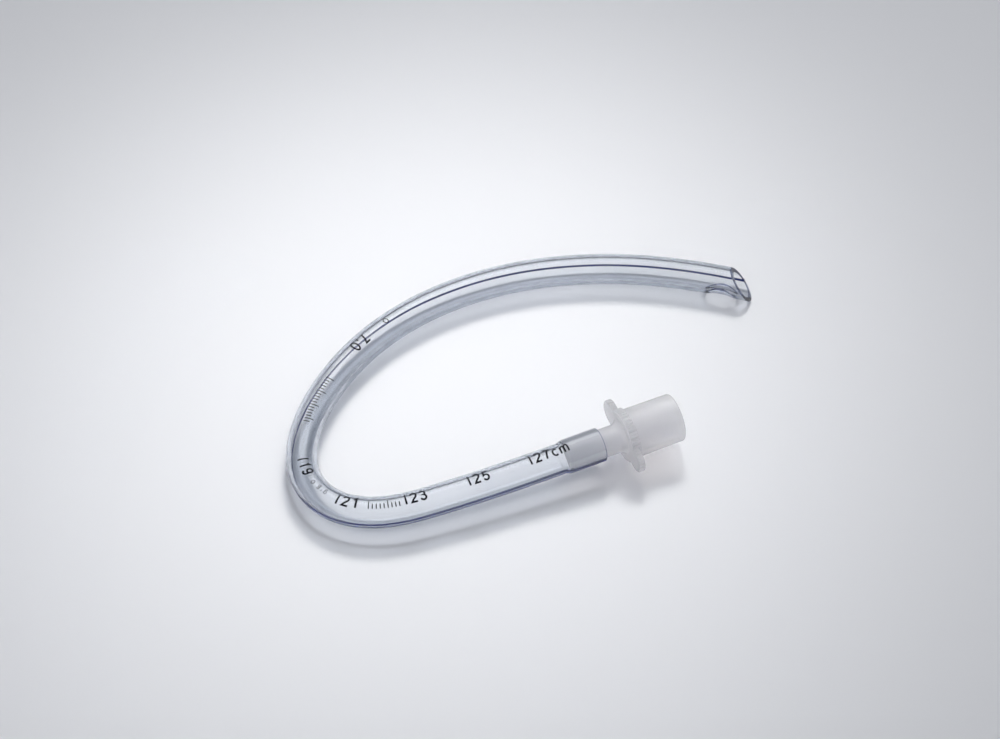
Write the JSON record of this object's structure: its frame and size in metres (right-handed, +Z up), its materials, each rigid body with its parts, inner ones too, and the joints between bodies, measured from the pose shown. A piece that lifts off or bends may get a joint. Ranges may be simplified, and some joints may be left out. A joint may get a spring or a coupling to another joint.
{
  "type": "endotracheal tube",
  "caption": "Preformed oral endotracheal tube, uncuffed: a U-bent clear tube with a bevelled tip and side eye, on a translucent tapered connector with a ribbed flange.",
  "frame": {"origin": "on the table, under the middle of the tube and connector as they lie", "axes": "+X along the longest side of the U as it lies, towards its open end; +Y from the connector's leg to the tip's leg; +Z up"},
  "size_m": [0.1448, 0.1122, 0.0169],
  "materials": {
    "clear_pvc": "clear plasticised PVC, slightly blue, smooth",
    "natural_polypropylene": "milky translucent moulded polypropylene",
    "radiopaque_stripe": "thin blue stripe extruded in the wall",
    "print_ink": "thin dark ink"
  },
  "bodies": {
    "root": {"tube": "clear_pvc", "connector": "natural_polypropylene"}
  },
  "joints": []
}
